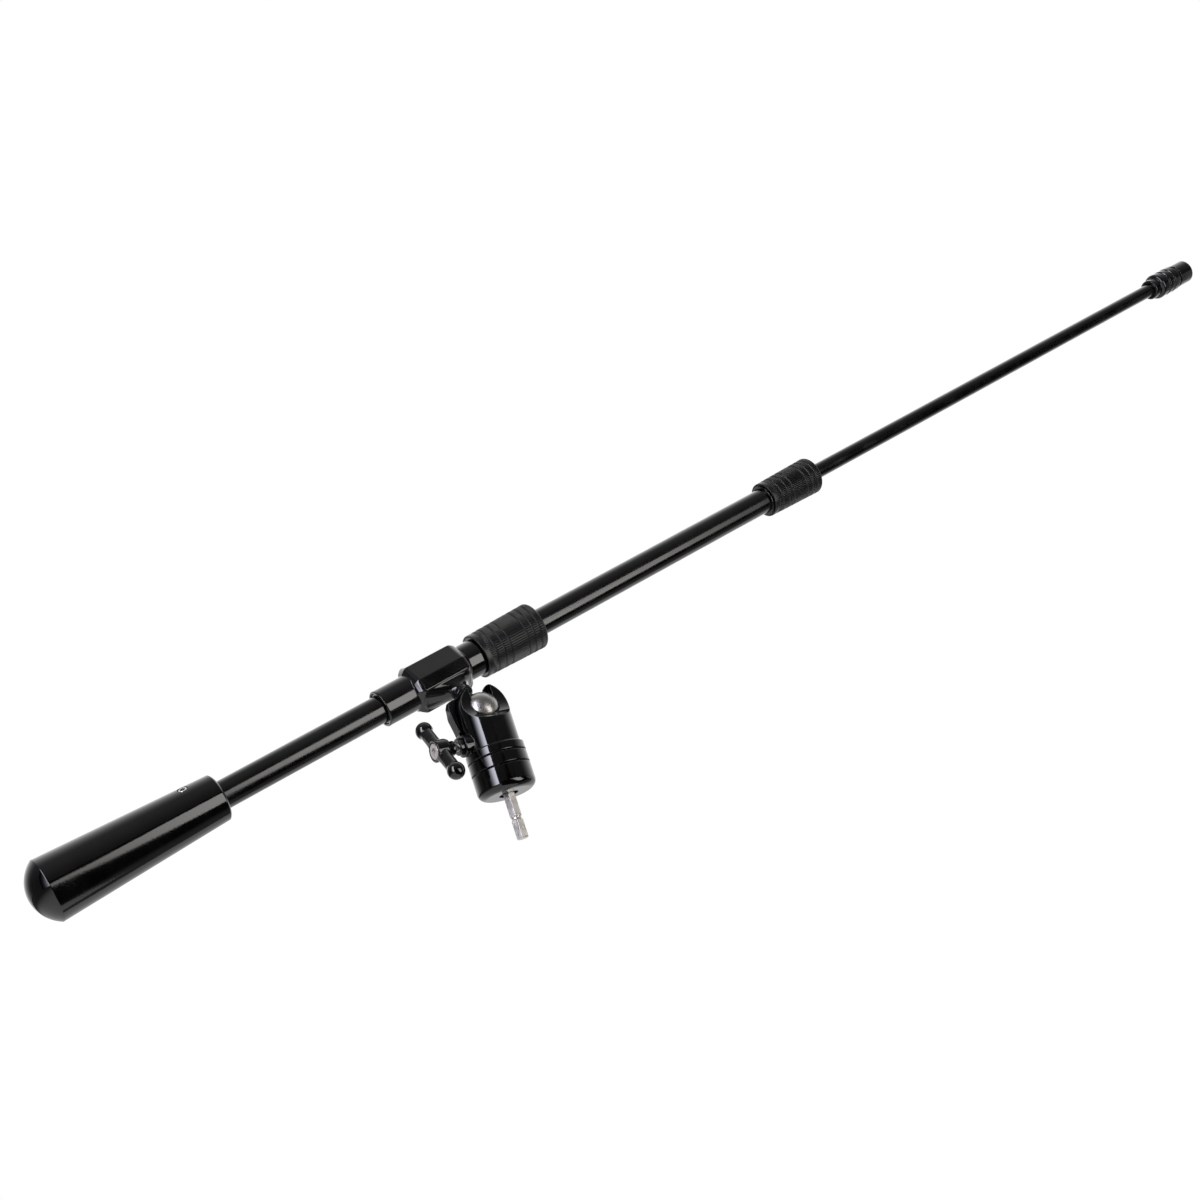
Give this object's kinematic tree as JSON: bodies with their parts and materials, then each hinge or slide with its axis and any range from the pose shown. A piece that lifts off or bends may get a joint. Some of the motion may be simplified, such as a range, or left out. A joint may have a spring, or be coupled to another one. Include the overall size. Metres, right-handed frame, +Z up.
{
  "type": "boom arm",
  "caption": "Telescopic camera boom arm with a counterweight, twist clutches, a quick-change tip and a ball swivel head on a hex pin.",
  "frame": {"origin": "centre of the lower end face of the hex pin", "axes": "+Z up along the hex pin towards the ball; +X is the level direction in which the boom reaches out"},
  "size_m": [0.9299, 0.0585, 0.3124],
  "materials": {
    "gloss_black": "gloss powder coat",
    "satin_black": "satin powder coat",
    "anodised_black": "black anodised",
    "rubber_black": "matte moulded",
    "stainless": "satin",
    "steel": "machined",
    "nylon": "moulded"
  },
  "bodies": {
    "base": {"hex_pin": "stainless", "base_cap": "gloss_black", "pan_ring": "gloss_black", "front_key_pin": "steel", "back_key_pin": "steel", "pan_spindle": "steel", "thrust_washer": "nylon"},
    "head": {"swivel_housing": "gloss_black", "spindle_retainer": "steel", "clamp_bush": "anodised_black"},
    "clamp": {"clamp_screw": "steel", "t_handle": "gloss_black", "handle_screw": "stainless"},
    "plug": {"lift_plug": "nylon"},
    "cup": {"seat_cup": "nylon"},
    "ball": {"ball": "stainless"},
    "pivot": {"ball_stem": "gloss_black", "stem_lock_ring": "gloss_black", "pivot_body": "satin_black", "rear_bush": "nylon"},
    "main_clutch": {"main_clutch_nut": "anodised_black", "main_clutch_grip": "rubber_black"},
    "main_collet": {"main_collet": "nylon"},
    "boom": {"outer_tube": "anodised_black", "tail_plug": "nylon", "counterweight": "gloss_black", "counterweight_set_screw": "steel", "tube_ferrule": "gloss_black"},
    "tube_clutch": {"tube_clutch_nut": "anodised_black", "tube_clutch_grip": "rubber_black"},
    "tube_collet": {"tube_collet": "nylon"},
    "inner": {"inner_tube": "anodised_black", "tube_guide": "nylon", "coupler_body": "gloss_black", "socket_core": "steel", "coupler_grub_screw": "steel", "detent_ball_1": "stainless", "detent_ball_2": "stainless", "detent_ball_3": "stainless", "sleeve_clip": "steel", "sleeve_spring": "steel"},
    "sleeve": {"coupler_sleeve": "gloss_black"}
  },
  "joints": [
    {"name": "base_pan", "type": "hinge", "parent": "base", "child": "head", "pos_m": [0, 0, 0.0463], "axis": [0, 0, 1], "continuous": true},
    {"name": "clamp_turn", "type": "hinge", "parent": "head", "child": "clamp", "pos_m": [0, 0, 0.0566], "axis": [-0.9888, -0.1495, 0], "range_deg": [0, 180]},
    {"name": "plug_lift", "type": "slide", "parent": "head", "child": "plug", "axis": [0, 0, 1], "range_m": [-0.0003, 0]},
    {"name": "ball_azimuth", "type": "hinge", "parent": "head", "child": "cup", "pos_m": [0, 0, 0.075], "axis": [0, 0, 1], "range_deg": [-33, 5]},
    {"name": "ball_lean", "type": "hinge", "parent": "cup", "child": "ball", "pos_m": [0, 0, 0.075], "axis": [-0.9212, -0.3891, 0], "range_deg": [-126, 53]},
    {"name": "boom_spin", "type": "hinge", "parent": "ball", "child": "pivot", "pos_m": [0, 0, 0.075], "axis": [-0.232, 0.5492, 0.8028], "continuous": true},
    {"name": "clutch_twist", "type": "hinge", "parent": "pivot", "child": "main_clutch", "pos_m": [0.01472, 0.02087, 0.11231], "axis": [0.9607, 0, 0.2776], "range_deg": [0, 180]},
    {"name": "boom_roll", "type": "hinge", "parent": "pivot", "child": "main_collet", "pos_m": [-0.00882, 0.02087, 0.10551], "axis": [0.9607, 0, 0.2776], "continuous": true},
    {"name": "boom_slide", "type": "slide", "parent": "main_collet", "child": "boom", "axis": [0.9607, 0, 0.2776], "range_m": [-0.185, 0.098]},
    {"name": "tube_clutch_twist", "type": "hinge", "parent": "boom", "child": "tube_clutch", "pos_m": [0.23712, 0.02087, 0.17658], "axis": [0.9607, 0, 0.2776], "range_deg": [0, 180]},
    {"name": "tube_roll", "type": "hinge", "parent": "boom", "child": "tube_collet", "pos_m": [0.27843, 0.02087, 0.18852], "axis": [0.9607, 0, 0.2776], "continuous": true},
    {"name": "tube_slide", "type": "slide", "parent": "tube_collet", "child": "inner", "axis": [0.9607, 0, 0.2776], "range_m": [-0.365, 0.035]},
    {"name": "coupler_slide", "type": "slide", "parent": "inner", "child": "sleeve", "axis": [0.9607, 0, 0.2776], "range_m": [-0.0025, 0], "stiffness_N_per_m": 400, "springref_m": 0.004, "deforming": ["sleeve_spring"]}
  ],
  "couplings": [
    {"joint": "plug_lift", "follows": "clamp_turn", "m_per_rad": -0.000079577}
  ]
}
